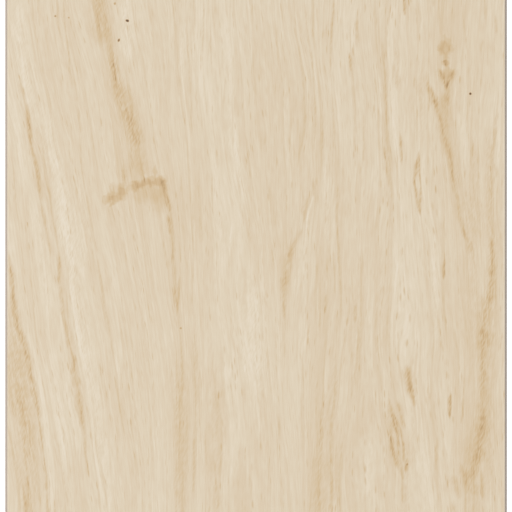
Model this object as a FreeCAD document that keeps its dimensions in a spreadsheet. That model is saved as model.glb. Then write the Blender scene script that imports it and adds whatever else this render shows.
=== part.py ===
# Hollow-section uPVC wall and ceiling panel: one extruded plank, decor face up.
#
# Frame: the origin is at the middle of the underside. X runs across the panel,
# Y along its length and Z up through its thickness. The printed face looks up
# and the plain back lies on z = 0. All sizes are in millimetres.

import FreeCAD, Part
import os
import Sketcher

# Driving dimensions: alias, value, what it measures.
SIZES = [
    ("cover_width", 250, "width over both long edges"),
    ("panel_length", 2700, "length of one stock plank, saw cut square"),
    ("panel_thickness", 8, "thickness over both skins"),
    ("face_skin", 0.9, "wall under the printed face"),
    ("back_skin", 0.8, "wall at the back"),
    ("side_wall", 1.5, "wall along each long edge"),
    ("web_thickness", 0.5, "wall between two cells"),
    ("cell_count", 20, "hollow cells across the width"),
    ("cell_corner", 0.5, "flat across each inner corner of a cell"),
    ("face_bevel", 1.2, "bevel along both arrises of the face"),
    ("back_bevel", 0.4, "eased arris along both edges of the back"),
]

# Formulas in terms of the sheet. The cells share what the side walls leave of
# the width, and each cell is one web narrower than the pitch.
HALF_WIDTH = "Sizes.cover_width / 2"
CELL_PITCH = "(Sizes.cover_width - 2 * Sizes.side_wall + Sizes.web_thickness) / Sizes.cell_count"
CELL_LEFT = f"-{HALF_WIDTH} + Sizes.side_wall"
CELL_RIGHT = f"{CELL_LEFT} + {CELL_PITCH} - Sizes.web_thickness"
CELL_FLOOR = "Sizes.back_skin"
CELL_ROOF = "Sizes.panel_thickness - Sizes.face_skin"

SAME_PLACE = 1e-6  # millimetres within which an edge counts as lying on a plane
SAME_VOLUME = 1e-6  # share of the volume by which the features may miss the sheet's


def size_sheet(doc):
    """Spreadsheet of the driving dimensions, one named cell for each."""
    sheet = doc.addObject("Spreadsheet::Sheet", "Sizes")
    for row, (alias, value, meaning) in enumerate(SIZES, start=1):
        sheet.set(f"A{row}", alias)
        sheet.set(f"B{row}", str(value))
        sheet.set(f"C{row}", meaning)
        sheet.setAlias(f"B{row}", alias)
    return sheet


def origin_feature(body, role):
    """Plane or axis of the body's own origin."""
    return next(item for item in body.Origin.OriginFeatures if item.Role == role)


def outline_sketch(doc, body, name, corners):
    """Closed outline in the XZ plane. Each corner is two formulas: across, then up."""
    sketch = body.newObject("Sketcher::SketchObject", name)
    sketch.AttachmentSupport = [(origin_feature(body, "XZ_Plane"), "")]
    sketch.MapMode = "FlatFace"
    count = len(corners)
    # The corners start on a parabola, a convex outline in which no two coincide.
    # The constraints below then put every one in its place.
    for index in range(count):
        start = FreeCAD.Vector(index, index * index, 0)
        following = (index + 1) % count
        end = FreeCAD.Vector(following, following * following, 0)
        sketch.addGeometry(Part.LineSegment(start, end), False)
    for index in range(count):
        following = (index + 1) % count
        sketch.addConstraint(Sketcher.Constraint("Coincident", index, 2, following, 1))
    for index, formulas in enumerate(corners):
        for kind, formula in zip(("DistanceX", "DistanceY"), formulas):
            number = sketch.addConstraint(Sketcher.Constraint(kind, -1, 1, index, 1, float(index)))
            sketch.setExpression(f"Constraints[{number}]", formula)
    doc.recompute()
    return sketch


def solid_plank(doc, body):
    """Full block of the panel, before the cells are taken out."""
    left, right = f"-{HALF_WIDTH}", HALF_WIDTH
    top = "Sizes.panel_thickness"
    corners = [(left, "0"), (right, "0"), (right, top), (left, top)]
    outline = outline_sketch(doc, body, "PlankOutline", corners)
    plank = body.newObject("PartDesign::Pad", "Plank")
    plank.Profile = outline
    plank.SideType = "Symmetric"
    plank.setExpression("Length", "Sizes.panel_length")
    body.Tip = plank
    doc.recompute()
    return plank


def first_cell(doc, body):
    """One hollow cell from end to end, beside the left-hand side wall."""
    flat = "Sizes.cell_corner"
    corners = [
        (f"{CELL_LEFT} + {flat}", CELL_FLOOR),
        (f"{CELL_RIGHT} - {flat}", CELL_FLOOR),
        (CELL_RIGHT, f"{CELL_FLOOR} + {flat}"),
        (CELL_RIGHT, f"{CELL_ROOF} - {flat}"),
        (f"{CELL_RIGHT} - {flat}", CELL_ROOF),
        (f"{CELL_LEFT} + {flat}", CELL_ROOF),
        (CELL_LEFT, f"{CELL_ROOF} - {flat}"),
        (CELL_LEFT, f"{CELL_FLOOR} + {flat}"),
    ]
    outline = outline_sketch(doc, body, "CellOutline", corners)
    cell = body.newObject("PartDesign::Pocket", "Cell")
    cell.Profile = outline
    cell.Type = "ThroughAll"
    cell.SideType = "Symmetric"
    body.Tip = cell
    doc.recompute()
    return cell


def row_of_cells(doc, body, cell):
    """The cell repeated across the panel, which leaves the webs between."""
    row = body.newObject("PartDesign::LinearPattern", "CellRow")
    row.Originals = [cell]
    row.Direction = (origin_feature(body, "X_Axis"), [""])
    row.Mode = "Spacing"
    row.setExpression("Offset", CELL_PITCH)
    row.setExpression("Occurrences", "Sizes.cell_count")
    body.Tip = row
    doc.recompute()
    return row


def long_arrises(shape, height):
    """Names of the two outer edges that run the panel's length at this height."""
    box = shape.BoundBox
    names = []
    for number, edge in enumerate(shape.Edges, start=1):
        ends = [vertex.Point for vertex in edge.Vertexes]
        at_side = all(abs(abs(end.x) - box.XMax) < SAME_PLACE for end in ends)
        at_height = all(abs(end.z - height) < SAME_PLACE for end in ends)
        if at_side and at_height and edge.Length > box.YLength / 2:
            names.append(f"Edge{number}")
    return names


def bevel(doc, body, name, base, height, size_alias):
    """Bevel along both long arrises at one height."""
    cut = body.newObject("PartDesign::Chamfer", name)
    cut.Base = (base, long_arrises(base.Shape, height))
    cut.setExpression("Size", f"Sizes.{size_alias}")
    body.Tip = cut
    doc.recompute()
    return cut


def panel_body(doc):
    """The whole panel, one extruded piece."""
    body = doc.addObject("PartDesign::Body", "panel")
    plank = solid_plank(doc, body)
    cell = first_cell(doc, body)
    row = row_of_cells(doc, body, cell)
    face_arris = bevel(doc, body, "FaceBevel", row, row.Shape.BoundBox.ZMax, "face_bevel")
    bevel(doc, body, "BackBevel", face_arris, row.Shape.BoundBox.ZMin, "back_bevel")
    body.Label = "panel"
    print("block", round(plank.Shape.Volume), "one cell", round(plank.Shape.Volume - cell.Shape.Volume))
    return body


def expected_volume(sheet):
    """Volume worked out from the sheet alone, to hold the features against."""
    width, length = sheet.cover_width, sheet.panel_length
    cell_width = (width - 2 * sheet.side_wall + sheet.web_thickness) / sheet.cell_count
    cell_width -= sheet.web_thickness
    cell_height = sheet.panel_thickness - sheet.face_skin - sheet.back_skin
    cell_area = cell_width * cell_height - 2 * sheet.cell_corner ** 2
    bevel_area = sheet.face_bevel ** 2 + sheet.back_bevel ** 2
    section = width * sheet.panel_thickness - sheet.cell_count * cell_area - bevel_area
    return section * length


def check(doc, sheet, bodies):
    """Stop if any object failed or a body isn't one sound solid of the right volume."""
    for item in doc.Objects:
        if {"Invalid", "Error"} & set(item.State):
            raise RuntimeError(f"{item.Name} failed: {item.State}")
    for body in bodies:
        shape = body.Shape
        if shape.isNull() or not shape.isValid() or len(shape.Solids) != 1:
            raise RuntimeError(f"{body.Label} isn't one valid solid")
    volume = sum(body.Shape.Volume for body in bodies)
    wanted = expected_volume(sheet)
    print("volume", round(volume), "expected", round(wanted))
    if abs(volume - wanted) > wanted * SAME_VOLUME:
        raise RuntimeError("the features don't add up to the sheet's volume")


def export(bodies):
    """One STEP file for each body, named by its label."""
    os.makedirs("parts", exist_ok=True)
    for body in bodies:
        path = os.path.join("parts", f"{body.Label}.step")
        body.Shape.exportStep(path)
        box = body.Shape.BoundBox
        print(path, round(box.XLength, 3), round(box.YLength, 3), round(box.ZLength, 3))


document = FreeCAD.newDocument("UpvcPanel")
sizes = size_sheet(document)
document.recompute()
pieces = [panel_body(document)]
document.recompute()
check(document, sizes, pieces)
export(pieces)
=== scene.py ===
# %% [markdown]
# # A uPVC panel with a printed wood face
# The real thing is a plank of hard plastic, pushed hot through a die that leaves
# it hollow, with a wood pattern printed on the one face that shows. The frame of
# the object, its section, its length and the surface it lies on, is made already
# and comes in first. Everything after that is about how the panel looks.

# %% Load the frame
import math

import bpy
import numpy as np
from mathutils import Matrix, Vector
from mathutils.geometry import tessellate_polygon


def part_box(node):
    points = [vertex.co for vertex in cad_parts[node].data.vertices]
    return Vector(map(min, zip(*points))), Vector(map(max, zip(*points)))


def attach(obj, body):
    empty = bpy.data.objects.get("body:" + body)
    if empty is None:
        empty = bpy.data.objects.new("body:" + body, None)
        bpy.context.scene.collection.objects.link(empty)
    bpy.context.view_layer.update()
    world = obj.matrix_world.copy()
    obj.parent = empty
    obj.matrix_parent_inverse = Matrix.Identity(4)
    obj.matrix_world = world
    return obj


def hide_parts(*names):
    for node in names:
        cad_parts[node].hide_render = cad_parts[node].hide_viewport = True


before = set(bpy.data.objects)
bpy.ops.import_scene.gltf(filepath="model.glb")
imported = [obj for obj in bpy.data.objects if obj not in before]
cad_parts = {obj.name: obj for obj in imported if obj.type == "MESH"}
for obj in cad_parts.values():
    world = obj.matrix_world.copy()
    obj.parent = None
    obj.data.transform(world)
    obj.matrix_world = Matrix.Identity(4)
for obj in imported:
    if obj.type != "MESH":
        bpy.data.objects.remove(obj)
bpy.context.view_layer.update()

low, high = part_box("panel")
MM = 0.001
print("panel", [round(size / MM, 2) for size in high - low], "mm")

# %% [markdown]
# ## One helper for materials
# A material in Blender is a small network: boxes that make a value, and wires
# between them. One function adds a box, sets it and wires it up, so the rest of
# this file can say what is drawn and not how to click it together. Colours are
# written as web colours and turned to the linear values that light is added in.

# %% Nodes and colours
def linear(web_colour):
    """Linear RGBA of a colour such as #DECEB5, by the sRGB curve."""
    parts = np.array([int(web_colour[i:i + 2], 16) for i in (1, 3, 5)]) / 255
    curve = np.where(parts <= 0.04045, parts / 12.92, ((parts + 0.055) / 1.055) ** 2.4)
    return (*curve.tolist(), 1.0)


def node(tree, kind, inputs=None, **settings):
    """Add a node. inputs gives each socket a value, or a node or socket to link from."""
    made = tree.nodes.new(kind)
    for name, value in settings.items():
        setattr(made, name, value)
    for socket, value in (inputs or {}).items():
        if isinstance(value, bpy.types.Node):
            value = value.outputs[0]
        if isinstance(value, bpy.types.NodeSocket):
            tree.links.new(value, made.inputs[socket])
        else:
            made.inputs[socket].default_value = value
    return made


def new_material(name):
    """Empty material with a Principled BSDF and its output."""
    material = bpy.data.materials.new(name)
    material.use_nodes = True
    tree = material.node_tree
    tree.nodes.clear()
    surface = node(tree, "ShaderNodeBsdfPrincipled")
    node(tree, "ShaderNodeOutputMaterial", {"Surface": surface})
    return material, tree, surface


print("cream as light", [round(part, 3) for part in linear("#DFCFB5")[:3]])


# %% [markdown]
# ## The section of the panel
# The panel is one shape pushed out of a die, so it is modelled the same way: draw
# the section once, then carry it along the length. The corners that the die
# leaves are a little round, and a bright line runs along a round corner in any
# light, which a sharp one can't show. The sizes repeat the frame's.

# %% Section sizes
WIDTH, LENGTH, THICK = (high - low) / MM
HALF = WIDTH / 2
FACE_SKIN, BACK_SKIN, SIDE_WALL, WEB = 0.9, 0.8, 1.5, 0.5
CELLS = 20
PITCH = (WIDTH - 2 * SIDE_WALL + WEB) / CELLS
BEVEL, BACK_BEVEL = 1.2, 0.4
ROUND = 0.3          # radius that the die leaves along the arrises
CELL_ROUND = 0.8     # and in the corners of the cells
REPEAT = 900.0       # the print comes round again after one turn of its roller
ROW_STEP = 6.0       # rows of faces along the panel
COLUMN_STEP = 4.0    # columns of faces across the decor


def rounded(corners, radius, steps=3):
    """Outline with round corners. Each corner P becomes the curve
    (1-t)^2 A + 2t(1-t) P + t^2 B, where A and B lie the radius before and after it."""
    corners = np.array(corners, float)
    before = np.roll(corners, 1, axis=0) - corners
    after = np.roll(corners, -1, axis=0) - corners
    before *= radius / np.linalg.norm(before, axis=1, keepdims=True)
    after *= radius / np.linalg.norm(after, axis=1, keepdims=True)
    t = np.linspace(0, 1, steps)[None, :, None]
    start, end, peak = (corners + before)[:, None], (corners + after)[:, None], corners[:, None]
    return (1 - t) ** 2 * start + 2 * t * (1 - t) * peak + t ** 2 * end


def outer_outline():
    """Outline of the panel from the left end of its face round to the start, as x and z."""
    arcs = rounded([
        (-HALF + BEVEL, THICK), (HALF - BEVEL, THICK), (HALF, THICK - BEVEL), (HALF, BACK_BEVEL),
        (HALF - BACK_BEVEL, 0), (-HALF + BACK_BEVEL, 0), (-HALF, BACK_BEVEL), (-HALF, THICK - BEVEL),
    ], min(ROUND, BACK_BEVEL / 3))
    first, last = arcs[0][-1, 0], arcs[1][0, 0]
    count = round((last - first) / COLUMN_STEP)
    across = np.linspace(first, last, count + 1)[1:-1]
    face = np.stack([across, np.full_like(across, THICK)], axis=1)
    return np.concatenate([arcs[0], face, *arcs[1:]])


def cell_outline(number):
    """Outline of one hollow cell, as x and z, the other way round."""
    left = -HALF + SIDE_WALL + number * PITCH
    right = left + PITCH - WEB
    floor, roof = BACK_SKIN, THICK - FACE_SKIN
    arcs = rounded([(left, floor), (right, floor), (right, roof), (left, roof)], CELL_ROUND, 4)
    return arcs.reshape(-1, 2)


outline = outer_outline()
cells = [cell_outline(number) for number in range(CELLS)]
print("outline points", len(outline), "and in each cell", len(cells[0]))

# %% [markdown]
# ## Where the grain runs
# Printed wood convinces when every pore follows the grain. The grain here leans
# in from the left, closes to a point in the middle and parts round the knots on
# the right. So it is drawn first, as a few lines down the face, each with the
# place where it crosses five stations. Between the lines the grain is shared
# out evenly, and past the figure the lines go back to where they started,
# because the print has to meet itself when the roller comes round.

# %% Grain lines
STATIONS = np.array([-128.0, -64.0, 0.0, 64.0, 128.0])
CALM_STATIONS = np.array([290.0, 450.0, 610.0])   # past the figure, on both sides of it
CALMED = 0.35   # share of its bend that a line keeps at the first of them
GRAIN_LINES = [
    # where the line runs far from the figure, then x at each station, in millimetres
    (-200, (-190, -192, -196, -200, -200)),
    (-162, (-125, -133, -142, -152, -162)),
    (-127, (-89, -98, -107, -117, -128)),
    (-108, (-68, -75, -86, -97, -108)),
    (-83, (-48, -52, -61, -71, -84)),
    (-58, (-36, -36, -42, -51, -60)),
    (-33, (-26, -25, -27, -31, -34)),
    (-15, (6, 3, -3, -12, -15)),
    (2, (17, 13, 10, 6, 0)),
    (20, (21, 17, 20, 24, 18)),
    (38, (28, 34, 37, 39, 37)),
    (55, (52, 52, 55, 55, 53)),
    (71, (80, 73, 71, 70, 69)),
    (88, (100, 96, 93, 88, 87)),
    (104, (102, 107, 105, 99, 102)),
    (121, (116, 114, 117, 118, 121)),
    (140, (134, 134, 136, 137, 138)),
]


def smooth_through(knots, values, at):
    """Cubic Hermite curve through values at knots, with slopes from their neighbours."""
    slopes = np.gradient(values, knots)
    i = np.clip(np.searchsorted(knots, at) - 1, 0, len(knots) - 2)
    gap = knots[i + 1] - knots[i]
    t = (at - knots[i]) / gap
    rise = t * t * (3 - 2 * t)
    return (
        (1 - rise) * values[i] + rise * values[i + 1]
        + gap * t * (1 - t) * ((1 - t) * slopes[i] - t * slopes[i + 1])
    )


def grain(x, y):
    """Which grain line passes through each point: the label rises evenly from one
    line to the next, so the sum of its rises up to x is the label there."""
    y = (y + REPEAT / 2) % REPEAT - REPEAT / 2
    knots = np.concatenate([-CALM_STATIONS[::-1], STATIONS, CALM_STATIONS])
    places = []
    for home, at in GRAIN_LINES:
        calm = [home + CALMED * (end - home) for end in (at[0], at[-1])]
        line = np.array([home, home, calm[0], *at, calm[1], home, home], float)
        places.append(smooth_through(knots, line, y))
    label = np.full(np.broadcast(x, y).shape, float(GRAIN_LINES[0][0]))
    for k in range(len(GRAIN_LINES) - 1):
        rise = GRAIN_LINES[k + 1][0] - GRAIN_LINES[k][0]
        label += rise * np.clip((x - places[k]) / (places[k + 1] - places[k]), 0, 1)
    return label


def grain_at(x, y):
    """Label of the grain line through one point, in millimetres."""
    return float(grain(np.array([float(x)]), np.array([float(y)]))[0])


print("grain label at the middle of the face", round(grain_at(0, 0), 1))

# %% [markdown]
# ## The mesh
# The outline is carried along the panel as a grid of faces, and each cell as a
# tube. At each end the plastic between the outline and the cells is filled with
# triangles. A mesh can carry several flat maps of itself: one here holds the
# grain, and one lays the face out in three strips side by side, so that a texture
# baked from the material later gives most of its room to the face.

# %% Build the mesh
rows = np.linspace(-LENGTH / 2, LENGTH / 2, round(LENGTH / ROW_STEP) + 1)


def tube(points, stations):
    """Vertices of a closed outline carried along Y, and the quads between stations."""
    count = len(points)
    vertices = np.empty((len(stations), count, 3))
    vertices[..., 0] = points[:, 0]
    vertices[..., 1] = stations[:, None]
    vertices[..., 2] = points[:, 1]
    here = np.arange(count)
    there = (here + 1) % count
    start = np.arange(len(stations) - 1)[:, None] * count
    quads = np.stack([start + here, start + there, start + there + count, start + here + count], axis=-1)
    return vertices.reshape(-1, 3), quads.reshape(-1, 4)


def end_caps(outlines):
    """Triangles between the outer outline and the cells, all facing -Y."""
    loops = [[Vector((x, z, 0)) for x, z in points] for points in outlines]
    triangles = np.array(tessellate_polygon(loops))
    flat = np.concatenate(outlines)
    a, b, c = flat[triangles[:, 0]], flat[triangles[:, 1]], flat[triangles[:, 2]]
    turn = (b[:, 0] - a[:, 0]) * (c[:, 1] - a[:, 1]) - (b[:, 1] - a[:, 1]) * (c[:, 0] - a[:, 0])
    triangles[turn < 0] = triangles[turn < 0][:, ::-1]
    return triangles[np.abs(turn) > 1e-9]


skin_vertices, skin_quads = tube(outline, rows)
vertex_parts, quad_parts = [skin_vertices], [skin_quads]
front_rings = [np.arange(len(outline))]
back_rings = [np.arange(len(outline)) + (len(rows) - 1) * len(outline)]
offset = len(skin_vertices)
for points in cells:
    cell_vertices, cell_quads = tube(points, rows[[0, -1]])
    vertex_parts.append(cell_vertices)
    quad_parts.append(cell_quads + offset)
    front_rings.append(np.arange(len(points)) + offset)
    back_rings.append(np.arange(len(points)) + offset + len(points))
    offset += len(cell_vertices)
caps = end_caps([outline, *cells])
front_caps = np.concatenate(front_rings)[caps]
back_caps = np.concatenate(back_rings)[caps][:, ::-1]
vertices = np.concatenate(vertex_parts)
quads = np.concatenate(quad_parts)
mesh = bpy.data.meshes.new("upvc_panel")
mesh.from_pydata(
    (vertices * MM).tolist(), [],
    quads.tolist() + front_caps.tolist() + back_caps.tolist(),
)
panel = bpy.data.objects.new("upvc_panel", mesh)
bpy.context.collection.objects.link(panel)
print("faces", len(mesh.polygons), "vertices", len(mesh.vertices))

# %% [markdown]
# ### One piece, three finishes
# The film covers the face and the two bevels, and everything else is bare plastic.
# The mesh stays whole, as the real panel is, and each of its faces carries the
# number of its finish. The number comes from where the face lies on the section.

# %% Which finish each face wears
DECOR, JOINT, BODY = 0, 1, 2
segment_z = (outline[:, 1] + np.roll(outline[:, 1], -1)) / 2
on_face = segment_z > THICK - 1e-3
on_bevel = (segment_z > THICK - BEVEL) & ~on_face
ring_finish = np.where(on_face, DECOR, np.where(on_bevel, JOINT, BODY))
finish = np.full(len(mesh.polygons), BODY)
finish[:len(skin_quads)] = np.tile(ring_finish, len(rows) - 1)
mesh.polygons.foreach_set("material_index", finish.astype(np.int32))
print("decor faces", int((finish == DECOR).sum()), "bevel faces", int((finish == JOINT).sum()))

# %% [markdown]
# ### The two maps
# Grain holds, for each corner, the label of its grain line and its place along the
# panel, so a pattern that is drawn straight on this map follows the grain. OFBake
# gives every face a spot of its own on a square texture, with none lying over
# another.

# %% The two maps
corner_vertex = np.empty(len(mesh.loops), np.int32)
mesh.loops.foreach_get("vertex_index", corner_vertex)
grain_map = np.stack([grain(vertices[:, 0], vertices[:, 1]) * MM, vertices[:, 1] * MM], axis=1)
layer = mesh.uv_layers.new(name="Grain")
layer.uv.foreach_set("vector", grain_map[corner_vertex].astype(np.float32).ravel())


# shares of the square texture
FACE_SHARE, REST_SHARE, SKIN_TOP = 0.2575, 0.055, 0.97      # one strip: its face, the rest, its height
MARGIN = 0.01
CELL_BLOCK, CELL_CORNER, TILE_FILL = (0.055, 0.9), (0.942, MARGIN), 0.8   # the tiles of the cells
END_HEIGHTS, END_WIDTH, END_THICK = (0.975, 0.987), 0.9, 0.009            # the two cut ends


def bake_map():
    """Corner places on the texture: three strips of the face, each with its edges and
    back beside it, then a block of small tiles for the cells and a line for each end."""
    strips = round(LENGTH / REPEAT)
    widths = np.where(on_face, FACE_SHARE / on_face.sum(), REST_SHARE / (~on_face).sum())
    edges = np.concatenate([[0], np.cumsum(widths)])
    row = np.repeat(np.arange(len(rows) - 1), len(outline))
    segment = np.tile(np.arange(len(outline)), len(rows) - 1)
    per_strip = (len(rows) - 1) // strips
    strip, step = row // per_strip, row % per_strip
    left, right = edges[segment] + strip * edges[-1], edges[segment + 1] + strip * edges[-1]
    bottom, top = step / per_strip * SKIN_TOP, (step + 1) / per_strip * SKIN_TOP
    skin = np.stack([left, bottom, right, bottom, right, top, left, top], axis=1).reshape(-1, 2)
    sides = len(cells[0])
    cell, side = np.divmod(np.arange(CELLS * sides), sides)
    tile = TILE_FILL * np.array([(0, 0), (1, 0), (1, 1), (0, 1)])
    block = np.array(CELL_BLOCK) / (CELLS, sides)
    inside = (np.stack([cell, side], axis=1)[:, None] + tile) * block + np.array(CELL_CORNER)
    ends = []
    for triangles, height in zip((front_caps, back_caps), END_HEIGHTS):
        flat = vertices[triangles.ravel()]
        across = (flat[:, 0] / WIDTH + 0.5) * END_WIDTH + MARGIN
        ends.append(np.stack([across, height + flat[:, 2] / THICK * END_THICK], axis=1))
    return np.concatenate([skin, inside.reshape(-1, 2), *ends])


layer = mesh.uv_layers.new(name="OFBake")
layer.uv.foreach_set("vector", bake_map().astype(np.float32).ravel())
mesh.uv_layers["Grain"].active_render = True
mesh.validate()
print("maps", [layer.name for layer in mesh.uv_layers])

# %% [markdown]
# ## The printed decor
# The film is printed in a few warm browns over cream, so its colours lie close to
# one line, from the pale wood between the pores to the brown of a knot. That
# makes the work simple: everything on the face is one number, the tone, which
# says how far a spot is from the usual wood colour, and one ramp turns the tone
# into a colour. Each kind of mark then only adds or takes away some tone.

# %% The tone and its colours
def place_in_mm(tree):
    """Object coordinates in millimetres, together and as x, y and z."""
    place = node(tree, "ShaderNodeTexCoord").outputs["Object"]
    place_mm = node(tree, "ShaderNodeVectorMath", {0: place, "Scale": 1 / MM}, operation="SCALE")
    return place_mm, node(tree, "ShaderNodeSeparateXYZ", {0: place_mm})


decor, tree, surface = new_material("printed_maple_film")
grain_uv = node(tree, "ShaderNodeUVMap", uv_map="Grain")
grain_mm = node(tree, "ShaderNodeVectorMath", {0: grain_uv, "Scale": 1 / MM}, operation="SCALE")
place_mm, place_xyz = place_in_mm(tree)
# the printed figure comes round again after each turn of the roller
turn_y = node(
    tree, "ShaderNodeMath", {0: place_xyz.outputs[1], 1: REPEAT / 2, 2: -REPEAT / 2}, operation="WRAP",
)
figure_place = node(tree, "ShaderNodeCombineXYZ", {0: place_xyz.outputs[0], 1: turn_y})
TONES = [
    # tone below or above the usual wood, and the colour there
    (-133, "#5E4530"), (-84, "#A28059"), (-56, "#C5A67A"), (-44, "#CDB087"), (-30, "#D4BB95"),
    (-17, "#D8C3A3"), (-5, "#DDCBB0"), (0, "#DFCFB5"), (4, "#E1D2B9"), (11, "#E5D7C0"), (20, "#E8DCC8"),
]
print("tones from", TONES[0][0], "to", TONES[-1][0])

# %% [markdown]
# ### Noise that follows the grain
# Noise on the grain map, drawn out lengthwise, gives streaky detail at any size.
# The map itself is pushed a little from side to side first, so that no line of
# the print is quite smooth.

# %% Noise along the grain
WAVER = 3.5   # the grain wavers by up to this much, in millimetres


def grain_noise(width, length, detail=0.0, roughness=0.5, seed=0.0):
    """Noise drawn out along the grain: its spots are width by length, in millimetres."""
    stretched_place_and_arris_highlight = node(
        tree, "ShaderNodeVectorMath",
        {0: warped_grain, 1: (1 / width, 1 / length, 1), 2: (seed, seed, seed)}, operation="MULTIPLY_ADD",
    )
    return node(
        tree, "ShaderNodeTexNoise",
        {"Vector": stretched_place_and_arris_highlight, "Scale": 1.0, "Detail": detail, "Roughness": roughness},
        noise_dimensions="2D",
    )


waver_place = node(tree, "ShaderNodeVectorMath", {0: grain_mm, 1: (1 / 16, 1 / 70, 1)}, operation="MULTIPLY")
waver = node(
    tree, "ShaderNodeTexNoise", {"Vector": waver_place, "Scale": 1.0, "Detail": 2.0, "Roughness": 0.4},
    noise_dimensions="2D",
)
waver_mm = node(tree, "ShaderNodeMath", {0: waver, 1: 2 * WAVER, 2: -WAVER}, operation="MULTIPLY_ADD")
waver_xyz = node(tree, "ShaderNodeCombineXYZ", {0: waver_mm})
warped_grain = node(tree, "ShaderNodeVectorMath", {0: grain_mm, 1: waver_xyz}, operation="ADD")
grain_xyz = node(tree, "ShaderNodeSeparateXYZ", {0: warped_grain})


def layered(tone, value, strength, middle=0.5):
    """Add value times strength to the tone, so that the middle value changes nothing."""
    part = node(
        tree, "ShaderNodeMath", {0: value, 1: strength, 2: -strength * middle}, operation="MULTIPLY_ADD",
    )
    return node(tree, "ShaderNodeMath", {0: tone, 1: part}, operation="ADD") if tone else part


print("the grain wavers by up to", WAVER, "mm")


# %% [markdown]
# ### Growth bands and the lines between them
# A growth ring that is cut along its length shows as a band: it starts pale at a
# crisp edge, darkens across its width and ends in a thin brown line, where the
# next one starts. One noise drawn out along the grain gives each spot its place in
# a ring, and a curve turns that place into tone. Fine rings lie inside broad ones.

# %% Growth bands
def ring_tone(place_in_ring, seam, depth, lift):
    """Tone across a ring: it sinks slowly, drops into a thin dark seam, then jumps pale."""
    curve = node(tree, "ShaderNodeFloatCurve", {"Value": place_in_ring})
    line = curve.mapping.curves[0]
    for place, height in (
        (0.30, 0.50), (0.42, 0.42), (seam - 0.035, 0.30), (seam - 0.012, 0.0), (seam + 0.012, 0.92),
        (seam + 0.04, 0.80), (0.62, 0.60), (0.72, 0.55),
    ):
        line.points.new(place, height)
    line.points[0].location = (0.0, 0.5)
    line.points[-1].location = (1.0, 0.5)
    for point in line.points:
        point.handle_type = "VECTOR"
    curve.mapping.update()
    return node(tree, "ShaderNodeMapRange", {"Value": curve, "To Min": -depth, "To Max": lift})


FINE_RING, FINE_SEAM = (3.6, 190.0, 12.3), 0.49
fine_ring = grain_noise(FINE_RING[0], FINE_RING[1], 2, 0.45, FINE_RING[2])
tone = ring_tone(fine_ring, FINE_SEAM, 5.0, 5.0)
for width, length, seam, depth, lift, seed in (
    (9.5, 300.0, 0.50, 5.0, 5.0, 21.9),
    (22.0, 400.0, 0.48, 4.0, 4.0, 71.4),
):
    ring = ring_tone(grain_noise(width, length, 2, 0.4, seed), seam, depth, lift)
    tone = node(tree, "ShaderNodeMath", {0: tone, 1: ring}, operation="ADD")
print("rings from", FINE_RING[0], "to", width, "mm wide")

# %% [markdown]
# ### Fibres and pores
# Fibres are the fine comb of lines in between. The pores of maple are short dark
# dashes, half a millimetre wide. Most lie in the dark line where a ring ends, and
# the rest are scattered and faint.

# %% Fibres and pores
for width, length, detail, strength, seed in (
    (0.7, 9.0, 1, 18.0, 3.1),     # fibres
    (1.3, 30.0, 1, 15.0, 7.7),    # bundles of fibres
    (2.6, 9.0, 1, 8.0, 45.1),     # clouds between them
    (30.0, 120.0, 1, 16.0, 33.3), # slow changes from board to board
):
    tone = layered(tone, grain_noise(width, length, detail, 0.6, seed), strength)
pore_place = node(
    tree, "ShaderNodeVectorMath", {0: warped_grain, 1: (1 / 0.9, 1 / 7.0, 1)}, operation="MULTIPLY",
)
pore_cells = node(tree, "ShaderNodeTexVoronoi", {"Vector": pore_place, "Scale": 1.0}, voronoi_dimensions="2D")
pores = node(tree, "ShaderNodeMapRange", {
    "Value": pore_cells.outputs["Distance"], "From Min": 0.38, "From Max": 0.14, "To Min": 0, "To Max": 1})
# a few cells hold a strong pore, and most a faint one
chance = node(tree, "ShaderNodeSeparateColor", {0: pore_cells.outputs["Color"]})
chance = node(tree, "ShaderNodeMath", {0: chance, 1: 2.5}, operation="POWER")
from_seam = node(tree, "ShaderNodeMath", {0: fine_ring, 1: FINE_SEAM}, operation="SUBTRACT")
from_seam = node(tree, "ShaderNodeMath", {0: from_seam}, operation="ABSOLUTE")
rows_of_pores = node(tree, "ShaderNodeMapRange", {
    "Value": from_seam, "From Min": 0.05, "From Max": 0.0, "To Min": 9, "To Max": 40})
pore_tone = node(tree, "ShaderNodeMath", {0: pores, 1: rows_of_pores}, operation="MULTIPLY")
pore_tone = node(tree, "ShaderNodeMath", {0: pore_tone, 1: chance}, operation="MULTIPLY")
tone = node(tree, "ShaderNodeMath", {0: tone, 1: pore_tone}, operation="SUBTRACT")
print("decor nodes so far", len(tree.nodes))
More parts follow.
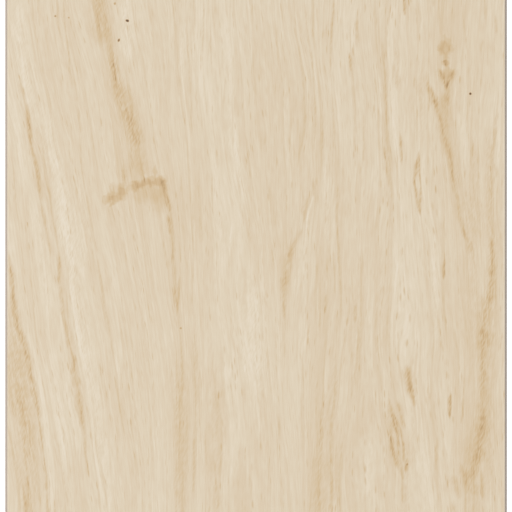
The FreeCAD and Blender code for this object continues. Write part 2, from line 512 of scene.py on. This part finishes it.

# %% [markdown]
# ### Streaks of colour
# The brown streaks of maple are listed one by one, each as a short line with a
# half-width and a depth of tone. A streak follows the grain: its ends are turned
# into grain labels, and it keeps to the label between them, so it bends with the
# pores beside it. With d the distance from its middle line over its half-width,
# and t running from -1 to 1 between its ends, its depth is (1 - d - t^4)^2 of the
# full one. Three streaks are worked out at a time, one in each number of a
# vector, which keeps the network small.

# %% The streaks, as x and y of one end, x and y of the other, half-width and depth
STREAKS = [
    # the warm band at the top left, with its fork
    (-80.5, 136.5, -78.5, 103.5, 2.6, 30), (-78, 134.5, -75, 99.5, 2.5, 18),
    (-76, 118.5, -70, 87.5, 2, 24), (-72.5, 102, -67.5, 73.5, 2.6, 26), (-69, 87.5, -62, 62.5, 3, 24),
    (-65.5, 75.5, -58.5, 54, 3.6, 24), (-62, 67.5, -56, 40, 3.5, 22), (-71.5, 97.5, -69, 82.5, 1, 16),
    # the edge under the bar
    (-46.5, 40, -43.5, 22, 1.5, 38), (-44, 30, -41.5, -3, 1.1, 28), (-42, 3, -39, -37, 0.9, 18),
    (-39, -22, -37, -81.5, 1.2, 12), (-39, -66.5, -38, -131.5, 2, 12), (-45, 21, -44, 10, 0.8, 34),
    # the long line on the left
    (-113.5, 75.5, -111.5, 49, 1, 56), (-111.5, 55, -107.5, 26, 0.8, 46),
    (-108.5, 30, -102.5, -1, 0.7, 34), (-107.5, 45, -99, 0, 0.6, 26), (-99.5, 3, -98.5, -17, 0.8, 36),
    (-98.5, -14, -96, -33, 0.7, 34), (-96.5, -28, -90, -53, 0.8, 34), (-95, -23, -91, -44.5, 0.5, 22),
    (-90.5, -48, -88, -69.5, 1.1, 42), (-88.5, -65.5, -86.5, -86.5, 1.3, 50),
    (-86.5, -83.5, -83, -109.5, 0.6, 24),
    # thin lines that lean with it
    (-96, 130.5, -91.5, 82.5, 0.6, 26), (-100, 130.5, -97.5, 107.5, 0.5, 16),
    (-91.5, 97.5, -87.5, 58, 0.5, 16), (-88.5, 63.5, -84.5, 33, 0.5, 18), (-85, 38, -78.5, 0, 0.6, 22),
    (-78.5, 0, -75, -32, 0.6, 20), (-76, -22, -69.5, -58, 0.5, 22), (-69.5, -58, -65, -91.5, 0.5, 14),
    (-116, 87.5, -112.5, 66.5, 0.5, 18), (-117.5, 107.5, -116, 97.5, 0.5, 16),
    (-123, 48, -117.5, 10, 0.5, 20), (-101, -84, -93, -127.5, 0.6, 16),
    (-116.5, -89.5, -114.5, -131.5, 0.7, 26), (-105.5, 97.5, -100.5, 62.5, 0.4, 12),
    (-112.5, 122.5, -108.5, 92.5, 0.4, 10), (-58, -22, -52, -62, 0.5, 12),
    (-53, -81.5, -50, -121.5, 0.5, 12),
    # the wedge at the bottom left
    (-123.5, 3, -119.5, -25, 0.9, 44), (-120.5, -18, -115.5, -45, 1.3, 50),
    (-115.7, -37, -111, -63.5, 1.5, 56), (-111.7, -58, -108, -81.5, 1.5, 46),
    (-109, -74.5, -105.6, -102.5, 0.9, 32), (-106, -97.5, -102.8, -136.5, 0.8, 32),
    (-125.5, -37, -121.5, -81.5, 3.5, 16), (-119.5, -42, -113.5, -71.5, 3, 18),
    (-119.5, -62, -113.5, -91.5, 3.5, 11), (-123.5, -86.5, -116.5, -131.5, 3.5, 14),
    (-117.5, -106.5, -110.5, -136.5, 2, 16), (-117.5, -115.5, -114.5, -136.5, 0.8, 40),
    # brown hooks in the middle
    (-38, -10, -39.5, -28, 0.8, 34), (-42, -15, -40.5, -24, 0.6, 24), (-42.5, 1, -42.5, -4, 0.5, 22),
    (26, 31, 22, 10, 1, 18), (23, 14, 16.5, -3, 1.8, 19), (17.5, 6, 14, -19, 2.8, 20),
    (14.5, -7, 14, -31, 1.3, 22), (19.5, 8, 15, -3, 0.6, 26), (-6, 30, -3, -3, 1.5, 8),
    (40.5, 43, 41, -3, 0.7, 18), (48.5, -24, 48.5, -34, 1, 22), (13.5, -22, 15, -37, 0.7, 14),
    # dashes of colour
    (74, 133.5, 74, 119.5, 0.5, 90), (71.5, 61, 72, 45, 0.6, 54), (108, 58, 108, 49, 0.5, 46),
    (94.5, -1, 94.5, -12, 0.5, 46), (97.5, -67.5, 97.7, -81, 0.45, 90),
    (51.5, 119.5, 51.5, 103.5, 0.5, 20), (39, 127.5, 39, 105.5, 0.6, 16), (55, 125.5, 55, 120.5, 0.5, 24),
    (48, 101.5, 48, 91.5, 0.5, 20), (30, 122.5, 30, 97.5, 0.5, 12), (63.5, 53, 64, 38, 0.6, 18),
    (69, 97.5, 69, 82.5, 0.5, 16), (103, -70.5, 103, -81.5, 0.5, 24), (90, -90.5, 90, -108.5, 0.8, 16),
    # what flows from the diamond knot
    (94.5, 97.5, 94.5, 94.5, 1.1, 46), (91, 93.5, 95, 83.5, 1.5, 44), (99, 93.5, 95, 82.5, 1.5, 44),
    (95, 87.5, 96, 74.5, 1.6, 44), (93, 81.5, 96, 62, 2.5, 28), (85, 86.5, 89.5, 70.5, 1.3, 38),
    (88, 79.5, 91.5, 65.5, 1.5, 34), (91, 69.5, 96.5, 48, 2.3, 34), (95.5, 58, 99.5, 28, 1.5, 26),
    (97, 50, 97.5, 35, 0.7, 24), (99, 33, 101.5, 15, 1.2, 28), (101.5, 20, 104.5, 8, 1, 30),
    (103.5, 14, 107.5, 0, 1.1, 24), (84, 92.5, 85.5, 79.5, 0.8, 18), (106.5, 83.5, 103.5, 65.5, 1, 12),
    # the eye
    (82.5, 53, 79.5, 35, 0.9, 56), (79.5, 40, 83, 20, 0.9, 50), (82.5, 52, 84, 33, 0.6, 50),
    (84, 36, 83, 20, 0.7, 46), (81, 48, 81.5, 40, 1.7, 22),
    # the band down the right edge
    (117, 10, 116.5, -10, 1.3, 36), (116.5, -3, 115.5, -24, 1.9, 36), (114.7, -17, 111.7, -41, 2.2, 42),
    (112.2, -34, 111.7, -53, 2, 38), (112, -47, 112.5, -71.5, 1.3, 36), (117.5, 67.5, 116.5, 10, 1.8, 12),
    (121, 77.5, 117.5, 23, 0.6, 18), (114.5, -37, 111.5, -47, 3, 14),
    (112.5, -67.5, 111.5, -91.5, 2.5, 24), (112.5, -76.5, 110.5, -104.5, 1.8, 44),
    (110.5, -95.5, 106.5, -113.5, 1.8, 34), (107.5, -86.5, 106.5, -111.5, 3.5, 14),
    (101.5, -102.5, 108.5, -119.5, 3.5, 22), (99.5, -108.5, 101, -121.5, 1, 26),
    (103.5, -106.5, 104, -116.5, 0.9, 24), (112, -106.5, 112.5, -121.5, 0.8, 26),
    (109.5, -111.5, 106.5, -136.5, 4, 10), (99, -121.5, 100, -133.5, 0.8, 20),
    # the cluster of knots at the lower right
    (75, -54, 77, -71.5, 1.5, 54), (77.5, -65.5, 78, -75.5, 0.8, 40), (66.5, -70.5, 69.5, -88.5, 1.3, 46),
    (68.5, -78.5, 70.5, -91.5, 1, 46), (66.5, -83.5, 66, -97.5, 0.7, 34),
    (69.5, -87.5, 71, -102.5, 0.7, 36), (71.5, -84.5, 74, -97.5, 0.7, 38),
    (66, -91.5, 70.5, -106.5, 1.2, 34), (73.5, -91.5, 73.5, -102.5, 0.8, 34),
    (69.5, -99.5, 74.5, -111.5, 1.3, 26), (70.5, -71.5, 73.5, -86.5, 0.7, 28),
    (75, -99.5, 75, -108.5, 0.8, 42), (64.5, -75.5, 69.5, -106.5, 3, 14),
    # broad warm bands
    (-35, -69, -36, -136.5, 1.5, 10), (-30, -22, -31.5, -131.5, 1.7, 10), (-12, 112.5, -10, 62.5, 1.5, 8),
    (34, -66.5, 32, -136.5, 2.2, 14), (39, -37, 38, -131.5, 2.5, 13), (42, -91.5, 41, -131.5, 3.5, 8),
    (31, 97.5, 32, 38, 1.2, 7), (64.5, 117.5, 65.5, -2, 1.1, 14), (22, 127.5, 28, 53, 1.2, 7),
    (-37, 122.5, -35, 72.5, 1, 6), (81.5, 117.5, 83.5, 67.5, 2, 6), (62, 8, 61, -71.5, 2, 9),
    (53, 3, 51, -62, 2, 9),
    # long thin lines where a ring ends, to the left of the middle
    (-42, 127.5, -40.7, 94, 0.5, 13), (-40.7, 98, -38.5, 77, 0.5, 12), (-33, 114, -33.3, 87, 0.5, 20),
    (-33.3, 90, -32, 77, 0.5, 18), (-32, 79, -33, 60, 0.6, 14), (-26, 130, -26, 94, 0.5, 20),
    (-25.5, 96, -22.5, 69, 0.5, 14), (-22.5, 117, -20, 88, 0.5, 16), (-13.2, 130, -13, 81, 0.5, 9),
    (-13, 84, -9.2, 43, 0.5, 12), (-9.2, 45, -7, 24, 0.5, 14), (-3.8, 20, -2.6, 5, 0.5, 16),
    (-30.4, 44, -29, 21, 0.6, 18), (-29, 24, -27.8, 6, 0.6, 16), (-32, 33, -31.2, -4, 0.5, 14),
    (-31.2, -2, -31.2, -26, 0.5, 12), (-38.7, 27, -37.4, -5, 0.5, 12), (-22, 43, -21.2, 24, 0.5, 18),
    (-40.3, -44, -39.5, -90, 0.5, 16), (-37, -40, -37.8, -76, 0.6, 15), (-30.4, -40, -29.5, -80, 1.5, 10),
    (-31.2, -85, -31.2, -122, 0.6, 20), (-25.8, -85, -25.4, -106, 0.6, 14), (-21.2, -108, -21, -130, 0.5, 15),
    (-39.5, -104, -40, -136, 0.8, 15), (-13.4, -60, -12, -78, 0.5, 13), (-7.1, 24, -6.3, 14, 0.4, 18),
    # and to the right of it
    (20.3, 130, 21.1, 105, 0.5, 13), (21.1, 108, 23.2, 76, 0.5, 15), (23.2, 80, 24, 58, 0.6, 18),
    (24, 60, 21, 43, 0.5, 12), (25.7, 130, 28.1, 99, 0.6, 17), (28.1, 103, 28.7, 80, 0.6, 24),
    (28.7, 84, 28.6, 52, 0.6, 22), (38.9, 132, 38.9, 79, 0.6, 20), (39, 82, 39, 57, 0.6, 22),
    (39, 60, 39, 40, 0.5, 13), (33, 75, 32.6, 42, 0.5, 15), (35.2, 72, 35.2, 50, 0.4, 12),
    (9.5, 120, 9.5, 92, 0.4, 11), (5.3, 97, 8.6, 73, 0.4, 12), (-1.7, 97, -1.7, 85, 0.4, 14),
    (23.2, 33, 23.6, 15, 0.6, 18), (27.7, 39, 28.1, 29, 0.6, 22), (32, -10, 32, -42, 0.5, 13),
    (38.1, 5, 37.7, -24, 0.5, 13), (41, 15, 41, -34, 0.7, 14), (12, -10, 12.4, -20, 0.4, 14),
    (8.2, 4, 8.6, -5, 0.4, 14), (11.1, -78, 10.7, -99, 0.5, 11), (14, -40, 14.5, -51, 0.5, 14),
    (30.2, -65, 29.8, -108, 0.5, 11), (34, -60, 33.1, -102, 1.1, 16), (40.6, -53, 37.8, -96, 0.6, 18),
    (37.7, -92, 37.3, -130, 0.6, 18), (31.9, -107, 31, -136, 0.7, 20), (47.6, 101, 47.6, 92, 0.5, 26),
    (48, 116, 48.5, 43, 0.4, 12), (51.8, 118, 52.3, 106, 0.6, 24), (52.6, 72, 52.2, 43, 0.5, 18),
    (64.2, 101, 65.5, 63, 0.9, 12), (69.6, 109, 70.5, 92, 0.6, 20), (70.4, 95, 70.7, 82, 0.6, 18),
    (78.4, 90, 78.6, 83, 0.4, 26), (91.6, 128, 92.6, 110, 0.5, 12), (102, 125, 104.5, 99, 0.5, 14),
    (113.6, 127, 113.6, 117, 0.6, 20), (112.8, 108, 111.6, 101, 0.5, 14), (120.7, 120, 119.9, 110, 0.4, 20),
    (121, 65, 118.2, 50, 0.5, 18), (63.4, 55, 63.5, 48, 0.6, 24), (87.5, 82, 87.7, 76, 0.6, 30),
    (89.6, 80, 89.7, 74, 0.5, 30),
    # pale lines along some of them
    (28.6, 33, 24.4, 16, 0.4, -14), (29.8, 107, 29.8, 80, 0.4, -9), (49.3, 114, 48.9, 101, 0.5, -14),
    (-12.1, 19, -11.3, -1, 0.5, -12), (-30.4, 2, -30.4, -18, 0.4, -9), (30.8, -10, 30.6, -42, 0.5, -10),
    (-5, -44, -4.6, -63, 0.5, -10), (-30, 115, -30, 80, 1.0, -8), (-37, 117, -37, 92, 0.9, -8),
    # slow changes to darker wood
    (-122, -15, -113, -115, 4.5, 18), (-118, -60, -108, -130, 4, 14), (118, 60, 116, -130, 4, 16),
    (108, 60, 112, 0, 3, 14), (98, 70, 106, 10, 3, 10),
    (113, -40, 104, -130, 5, 8), (108, 40, 107, -60, 4, 12),
    (-42, -40, -36, -140, 4, 12), (-20, -50, -22, -140, 5, 11), (-67, 90, -58, 55, 3, 14),
    (15, 20, 14, -45, 2.5, 8), (48, -10, 50, -80, 3, 9), (66, 10, 66, -50, 2.5, 8),
    (30, -90, 28, -140, 4, 12), (80, 95, 84, 50, 3, 9), (77, -80, 74, -140, 3, 12),
    # slow changes to paler wood, where the tone goes up
    (-118, 135, -112, 60, 5, -14), (-108, 80, -98, 0, 6, -11), (-97, 30, -84, -60, 6, -9),
    (-88, -30, -72, -130, 5, -10), (-66, 135, -64, 95, 4, -14),
    (-88, 45, -85, -10, 4, -9), (34, 50, 36, 0, 3, -10),
    (90, 10, 88, -50, 3, -10), (0, -10, 2, -70, 5, -8), (56, -80, 56, -125, 3, -8),
    # and narrow bands of paler wood
    (-36, 117.5, -36, 72.5, 1.7, -12), (-14, 122.5, -12, 58, 2.5, -10), (-11, 72.5, -5, 13, 3, -9),
    (-20.5, 58, -15, -22, 3, -6), (26, 28, 20, -22, 3.5, -9), (-4, 8, 3, -91.5, 6, -6),
    (-105.5, 107.5, -97.5, 28, 4, -4), (-99.5, 53, -89.5, -22, 4, -8), (-112.5, 33, -101.5, -37, 3.5, -8),
    (62, 97.5, 62, 28, 1.2, -10), (69, 87.5, 69, 43, 1.5, -7), (57, -2, 60, -81.5, 2.5, -5),
    (69.5, 13, 74, -52, 4.5, -6), (106.5, 53, 113.5, -22, 2.5, -7), (81.5, -81.5, 84.5, -131.5, 4, -7),
    (-96.5, -32, -89.5, -91.5, 3, -7), (-71.5, -37, -66.5, -71.5, 2.5, -5),
    (-102.5, -47, -94.5, -106.5, 3.5, -8), (-121.5, 82.5, -115.5, 28, 2.5, -7),
]


SIDE_ROOM, END_ROOM = 2.2, 1.12   # how far a streak fades out past its sizes in the list
NO_STREAK = (0, 0, 1, 9, 1, 0)    # fills a group of three that has fewer
VECTOR = "ShaderNodeVectorMath"


def streak_numbers(streak):
    """What one streak needs: minus the slope of its label along y, its label at y = 0,
    the slope and start of the place between its ends, 1 over its half-width as a
    label, and its depth."""
    x1, y1, x2, y2, half_width, depth = streak
    label1, label2 = grain_at(x1, y1), grain_at(x2, y2)
    slope = (label2 - label1) / (y2 - y1)
    x, y = (x1 + x2) / 2, (y1 + y2) / 2
    crowding = (grain_at(x + 1, y) - grain_at(x - 1, y)) / 2
    along = 2 / (END_ROOM * abs(y2 - y1))
    sharpness = 1 / (SIDE_ROOM * half_width * crowding)
    return -slope, label1 - slope * y1, along, -y * along, sharpness, depth


feather = grain_noise(0.9, 8.0, 1, 0.5, 63.9)
ragged_label = layered(grain_xyz.outputs[0], feather, 0.9)
streak_place = node(tree, "ShaderNodeCombineXYZ", {0: ragged_label, 1: turn_y})
streak_xyz = node(tree, "ShaderNodeSeparateXYZ", {0: streak_place})
label_3 = node(tree, "ShaderNodeCombineXYZ", {i: streak_xyz.outputs[0] for i in range(3)})
turn_3 = node(tree, "ShaderNodeCombineXYZ", {i: streak_xyz.outputs[1] for i in range(3)})
marks_3 = (0, 0, 0)
for first in range(0, len(STREAKS), 3):
    some = [streak_numbers(streak) for streak in STREAKS[first:first + 3]]
    some += [NO_STREAK] * (3 - len(some))
    lean, start, scale, middle, sharpness, depth = (tuple(column) for column in zip(*some))
    off = node(tree, VECTOR, {0: turn_3, 1: lean, 2: label_3}, operation="MULTIPLY_ADD")
    off = node(tree, VECTOR, {0: off, 1: start}, operation="SUBTRACT")
    off = node(tree, VECTOR, {0: off}, operation="ABSOLUTE")
    along = node(tree, VECTOR, {0: turn_3, 1: scale, 2: middle}, operation="MULTIPLY_ADD")
    along = node(tree, VECTOR, {0: along, 1: along}, operation="MULTIPLY")
    ends = node(tree, VECTOR, {0: along, 1: along, 2: (-1, -1, -1)}, operation="MULTIPLY_ADD")
    inside = node(tree, VECTOR, {0: off, 1: sharpness, 2: ends}, operation="MULTIPLY_ADD")
    inside = node(tree, VECTOR, {0: inside, 1: (0, 0, 0)}, operation="MINIMUM")
    inside = node(tree, VECTOR, {0: inside, 1: inside}, operation="MULTIPLY")
    marks_3 = node(tree, VECTOR, {0: inside, 1: depth, 2: marks_3}, operation="MULTIPLY_ADD")
marks = node(tree, VECTOR, {0: marks_3, 1: (1, 1, 1)}, operation="DOT_PRODUCT").outputs["Value"]
# where streaks overlap, each one more darkens the wood less
crowd = node(tree, "ShaderNodeMath", {0: marks, 1: 1 / 150, 2: 1.05}, operation="MULTIPLY_ADD")
marks = node(tree, "ShaderNodeMath", {0: marks, 1: crowd}, operation="DIVIDE")
# inside a mark the colour lies in fibres, and in short strokes at a slant to them
STROKE_TURN, STROKE_SIZE = math.radians(-24), (0.8, 3.2, 1)
fibres = grain_noise(0.9, 5.0, 1, 0.6, 41.3)
stroke_place = node(tree, "ShaderNodeMapping", {
    "Vector": place_mm, "Rotation": (0, 0, STROKE_TURN), "Scale": STROKE_SIZE}, vector_type="TEXTURE")
strokes = node(tree, "ShaderNodeTexNoise", {
    "Vector": stroke_place, "Scale": 1.0, "Detail": 0.0}, noise_dimensions="2D")
comb = node(tree, "ShaderNodeMath", {0: fibres, 1: strokes}, operation="ADD")
broken = node(tree, "ShaderNodeMapRange", {
    "Value": comb, "From Min": 0.7, "From Max": 1.3, "To Min": 0.6, "To Max": 1.42})
marks = node(tree, "ShaderNodeMath", {0: marks, 1: broken}, operation="MULTIPLY")
print("streaks", len(STREAKS))

# %% [markdown]
# ### Knots and pin holes
# Knots, bark pockets and pin holes lie where they like, so they are placed by x
# and y. Each is an ellipse or a diamond, and noise makes the rims of knots ragged.

# %% The knots: x, y, half-width, half-height, turn in degrees, depth
ROUND_KNOTS = [
    (-71.5, 28.6, 5.4, 3.6, -22, 40), (-71.0, 33.0, 2.0, 5.0, 5, 16), (-66.7, 32.2, 2.9, 5.0, -10, 38),
    (-65.7, 39.8, 1.3, 6.0, -3, 16), (-59.5, 35.0, 5.5, 3.0, -15, 30), (-51.0, 37.0, 8.0, 3.2, -4, 32),
    (-56.3, 41.0, 1.2, 4.0, 0, 14), (-50.3, 41.5, 1.3, 4.0, 0, 18), (-46.0, 35.5, 2.6, 5.0, 10, 18),
    (-54.0, 31.5, 10.0, 7.0, 0, 17), (-60.0, 43.0, 9.0, 9.0, 0, 9), (-48.0, 27.0, 5.0, 9.0, 12, 14),
    (94.6, 96.1, 1.7, 2.6, 0, 30), (68.7, -83.7, 1.2, 2.6, 0, 12), (76.7, -64.7, 1.5, 4.0, 5, 12),
]
PIN_HOLES = [
    (-64.0, 117.0, 1.1, 0.8, 20, 180), (-68.2, 107.3, 0.7, 1.1, 20, 110), (106.6, 80.7, 0.8, 0.8, 0, 140),
    (-99.8, 119.3, 0.7, 0.7, 0, 70), (-93.1, 118.5, 0.6, 0.6, 0, 50), (-70.2, 125.5, 0.7, 0.9, 0, 60),
    (-37.4, -35.9, 0.7, 0.7, 0, 50), (75.2, -103.6, 0.7, 0.7, 0, 36),
]
DIAMOND_KNOTS = [
    (94.1, 103.1, 5.2, 8.0, 0, 34), (94.1, 103.1, 2.0, 3.5, 0, -14), (95.1, 90.1, 5.0, 6.0, 0, 20),
]
rag = node(tree, "ShaderNodeTexNoise", {
    "Vector": figure_place, "Scale": 0.4, "Detail": 1.0, "Roughness": 0.5}, noise_dimensions="2D")
rag_mm = node(
    tree, VECTOR, {0: rag.outputs["Color"], 1: (2.4, 4, 0), 2: (-1.2, -2, 0)}, operation="MULTIPLY_ADD",
)
ragged_place = node(tree, VECTOR, {0: figure_place, 1: rag_mm}, operation="ADD")
RIM_SLOPE = 1.5       # a knot has its full depth within a third of its half-width
for distance, knots, rim_at in (
    ("LENGTH", ROUND_KNOTS, ragged_place), ("LENGTH", PIN_HOLES, figure_place),
    ("DOT_PRODUCT", DIAMOND_KNOTS, ragged_place),
):
    for x, y, half_width, half_height, turn, depth in knots:
        local = node(tree, "ShaderNodeMapping", {
            "Vector": rim_at, "Location": (x, y, 0), "Rotation": (0, 0, math.radians(-turn)),
            "Scale": (half_width, half_height, 1)}, vector_type="TEXTURE")
        away = node(tree, VECTOR, {0: local}, operation="ABSOLUTE")
        away = node(tree, VECTOR, {0: away, 1: (1, 1, 0)}, operation=distance).outputs["Value"]
        inside = node(
            tree, "ShaderNodeMath", {0: away, 1: -RIM_SLOPE, 2: RIM_SLOPE},
            operation="MULTIPLY_ADD", use_clamp=True,
        )
        marks = node(tree, "ShaderNodeMath", {0: inside, 1: depth, 2: marks}, operation="MULTIPLY_ADD")
# past the figure, noise lays streaks like the ones that are listed
past_figure = node(tree, "ShaderNodeMath", {0: turn_y}, operation="ABSOLUTE")
past_figure = node(tree, "ShaderNodeMapRange", {"Value": past_figure, "From Min": 125.0, "From Max": 185.0})
for width, length, seed, start, depth in ((9.0, 110.0, 83.3, 0.60, 34), (2.6, 70.0, 29.1, 0.66, 34)):
    stain = node(tree, "ShaderNodeMapRange", {
        "Value": grain_noise(width, length, 1, 0.5, seed), "From Min": start, "From Max": start + 0.2,
        "To Min": 0, "To Max": depth})
    stain = node(tree, "ShaderNodeMath", {0: stain, 1: past_figure}, operation="MULTIPLY")
    marks = node(tree, "ShaderNodeMath", {0: stain, 1: broken, 2: marks}, operation="MULTIPLY_ADD")
tone = node(tree, "ShaderNodeMath", {0: tone, 1: marks}, operation="SUBTRACT")
print("knots", len(ROUND_KNOTS) + len(DIAMOND_KNOTS), "pin holes", len(PIN_HOLES))

# %% [markdown]
# ### A painted highlight along the arrises
# Along each edge of the face the tone is raised a little, as a painted highlight where
# the rounded arris would catch the light. The distance from the middle of the panel says where that is.

# %% The painted highlight along each arris
ARRIS_HIGHLIGHT = 10            # painted highlight: rise in tone along the arris
arris = HALF - BEVEL
from_middle = node(tree, "ShaderNodeMath", {0: place_xyz.outputs[0]}, operation="ABSOLUTE")
# painted highlight: the tone rises just inside each arris
stretched_place_and_arris_highlight = node(tree, "ShaderNodeMapRange", {
    "Value": from_middle, "From Min": arris - 1.0, "From Max": arris - 0.4, "To Min": 0, "To Max": ARRIS_HIGHLIGHT})
tone = node(tree, "ShaderNodeMath", {0: tone, 1: stretched_place_and_arris_highlight}, operation="ADD")
print("paler film from x =", round(arris - 1.0, 2), "mm outwards")

# %% [markdown]
# ### From tone to colour
# The ramp holds the decor's colours in order. The film is PVC with a clear coat
# over the print, rolled smooth, so it has a soft satin gloss.

# %% Finish of the decor
span = TONES[-1][0] - TONES[0][0]
TONE_SHIFT = -2.5     # makes up for what the marks and pores do to the average
ramp_place = node(tree, "ShaderNodeMapRange", {
    "Value": tone, "From Min": TONES[0][0] - TONE_SHIFT, "From Max": TONES[-1][0] - TONE_SHIFT,
})
colours = node(tree, "ShaderNodeValToRGB", {0: ramp_place})
ramp = colours.color_ramp.elements
ramp.remove(ramp[1])
ramp[0].color = linear(TONES[0][1])
for level, web_colour in TONES[1:]:
    ramp.new((level - TONES[0][0]) / span).color = linear(web_colour)
tree.links.new(colours.outputs[0], surface.inputs["Base Color"])
surface.inputs["Roughness"].default_value = 0.45
surface.inputs["IOR"].default_value = 1.5
print("decor nodes", len(tree.nodes))

# %% [markdown]
# ## Bevels
# The same film is stretched over both bevels and wears a grey-brown print there,
# so that two panels side by side show one dark joint line.

# %% Bevels
joint, tree, surface = new_material("taupe_joint_line")
surface.inputs["Base Color"].default_value = linear("#B0A193")
surface.inputs["Roughness"].default_value = 0.5
print("bevels", joint.name, "each", BEVEL, "mm across and down")

# %% [markdown]
# ## Body
# The body is white rigid PVC, pushed hot through a steel die and cooled on plates.
# The plates give it a satin skin. The die leaves fine lines along the length. The back skin sinks
# a little over every web, because the web cools last; that sink is painted as shade, with the colour
# a little darker in a band over each web on every face of the body.

# %% Body
DIE_LINE_AND_SINK_SHADE_COLOURS = linear("#E3DFD5"), linear("#EDEAE2")
SINK_SHADE_WIDTH = 1.4      # half the width of the painted shade over each web, in millimetres
DIE_LINE, DIE_LINE_LENGTH = 1.5, 900.0   # spacing and length of the lines
body, tree, surface = new_material("white_upvc")
place_mm, place_xyz = place_in_mm(tree)
along_die = (1 / DIE_LINE, 1 / DIE_LINE_LENGTH, 1 / DIE_LINE)
die = node(tree, "ShaderNodeVectorMath", {0: place_mm, 1: along_die}, operation="MULTIPLY")
die_lines = node(tree, "ShaderNodeTexNoise", {"Vector": die, "Scale": 1.0, "Detail": 2.0, "Roughness": 0.6})
first_web = HALF - SIDE_WALL + WEB / 2   # webs lie a whole number of pitches from here
from_left = node(tree, "ShaderNodeMath", {0: place_xyz.outputs[0], 1: first_web}, operation="ADD")
from_web = node(tree, "ShaderNodeMath", {0: from_left, 1: PITCH / 2}, operation="PINGPONG")
# painted shade: the colour is a little darker in a band over each web, on every face of the body
painted_sink_shade = node(tree, "ShaderNodeMapRange", {
    "Value": from_web, "From Min": 0.0, "From Max": SINK_SHADE_WIDTH, "To Min": -0.25, "To Max": 0.0})
die_lines_and_sink_shade = node(tree, "ShaderNodeMath", {0: die_lines, 1: painted_sink_shade}, operation="ADD")
body_colour = node(tree, "ShaderNodeMix", {
    0: die_lines_and_sink_shade, 6: DIE_LINE_AND_SINK_SHADE_COLOURS[0], 7: DIE_LINE_AND_SINK_SHADE_COLOURS[1]}, data_type="RGBA")
tree.links.new(body_colour.outputs[2], surface.inputs["Base Color"])
satin = node(tree, "ShaderNodeMapRange", {"Value": die_lines_and_sink_shade, "To Min": 0.44, "To Max": 0.30})
tree.links.new(satin.outputs[0], surface.inputs["Roughness"])
for material in (decor, joint, body):
    mesh.materials.append(material)
print("body", body.name, "web every", round(PITCH, 3), "mm")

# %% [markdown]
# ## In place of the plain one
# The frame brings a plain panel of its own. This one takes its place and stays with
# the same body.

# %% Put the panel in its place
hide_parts("panel")
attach(panel, "root")
print("panel stands in for the plain one")

# %% [markdown]
# ## Floor
# The panel lies on a plain white floor. The floor glows a little for the camera and
# in reflections only, which makes it white and puts no more light on the panel.
# From below, and to the back skin that lies on it, the floor is see-through, so
# that the back shows and is lit in a view from underneath.

# %% Floor
FLOOR_GLOW = 0.6      # light that the floor sends to the camera by itself
UNDER_GAP = 0.2 * MM  # the floor is this much lower than the back skin


def background_rays(tree):
    """Light Path node, and 1 for each ray that sees the background: straight from
    the camera, in a reflection or through glass."""
    path = node(tree, "ShaderNodeLightPath")
    straight, mirrored = path.outputs["Is Camera Ray"], path.outputs["Is Glossy Ray"]
    seen = node(tree, "ShaderNodeMath", {0: straight, 1: mirrored}, operation="MAXIMUM")
    through = path.outputs["Is Transmission Ray"]
    return path, node(tree, "ShaderNodeMath", {0: seen, 1: through}, operation="MAXIMUM")


bpy.ops.mesh.primitive_plane_add(size=40)
floor = bpy.context.object
floor.name = "studio_floor"
white, tree, surface = new_material("studio_white")
surface.inputs["Base Color"].default_value = (0.9, 0.9, 0.9, 1)
surface.inputs["Roughness"].default_value = 1.0
surface.inputs["Specular IOR Level"].default_value = 0.0
path, seen = background_rays(tree)
lift = node(tree, "ShaderNodeMath", {0: seen, 1: FLOOR_GLOW}, operation="MULTIPLY")
tree.links.new(lift.outputs[0], surface.inputs["Emission Strength"])
surface.inputs["Emission Color"].default_value = (1, 1, 1, 1)
under = node(tree, "ShaderNodeNewGeometry").outputs["Backfacing"]
ray_length = path.outputs["Ray Length"]
close_by = node(tree, "ShaderNodeMath", {0: ray_length, 1: 10 * UNDER_GAP}, operation="LESS_THAN")
under = node(tree, "ShaderNodeMath", {0: under, 1: close_by}, operation="MAXIMUM")
clear = node(tree, "ShaderNodeBsdfTransparent")
both_sides = node(tree, "ShaderNodeMixShader", {0: under, 1: surface, 2: clear})
output = next(item for item in tree.nodes if item.type == "OUTPUT_MATERIAL")
tree.links.new(both_sides.outputs[0], output.inputs["Surface"])
floor.location.z = -UNDER_GAP
floor.data.materials.append(white)
print("floor", floor.name, round(UNDER_GAP / MM, 2), "mm below the back skin")

# %% [markdown]
# ## Light
# Most of the light comes evenly from all round, as in a white room, and the rest
# from one wide lamp at the side. Together they light a white card facing them to
# just about white, so that each colour comes out as it is written.

# %% Light
SKY = 0.60           # share of the light that comes evenly from all round
KEY = 0.445          # and from the lamp, as a white card facing it would show it
world = bpy.data.worlds.new("studio")
bpy.context.scene.world = world
world.use_nodes = True
tree = world.node_tree
tree.nodes.clear()
path, seen = background_rays(tree)
strength = node(tree, "ShaderNodeMapRange", {"Value": seen, "To Min": SKY, "To Max": 1.0})
sky = node(tree, "ShaderNodeBackground", {"Color": (1, 1, 1, 1), "Strength": strength})
node(tree, "ShaderNodeOutputWorld", {"Surface": sky})
lamp_data = bpy.data.lights.new("key_lamp", "SUN")
lamp_data.energy = KEY * math.pi
lamp_data.angle = math.radians(20)
lamp = bpy.data.objects.new("key_lamp", lamp_data)
lamp.rotation_euler = (0, math.radians(-35), 0)
bpy.context.collection.objects.link(lamp)
print("sky", SKY, "lamp", KEY)

# %% [markdown]
# ## Camera
# The panel lies flat, so the camera looks straight down on it, with a long lens
# that keeps both edges square. Its height follows from the width of floor that
# fills the view.

# %% Camera
FIELD = 254.6 * MM   # width of floor that fills the view
camera_data = bpy.data.cameras.new("camera")
camera_data.lens = 100
camera = bpy.data.objects.new("camera", camera_data)
distance = FIELD * camera_data.lens / camera_data.sensor_width
camera.location = (0, 0, high.z + distance)
bpy.context.collection.objects.link(camera)
bpy.context.scene.camera = camera
bpy.context.scene.view_settings.view_transform = "Standard"
print("camera", round(distance, 3), "m above the face")
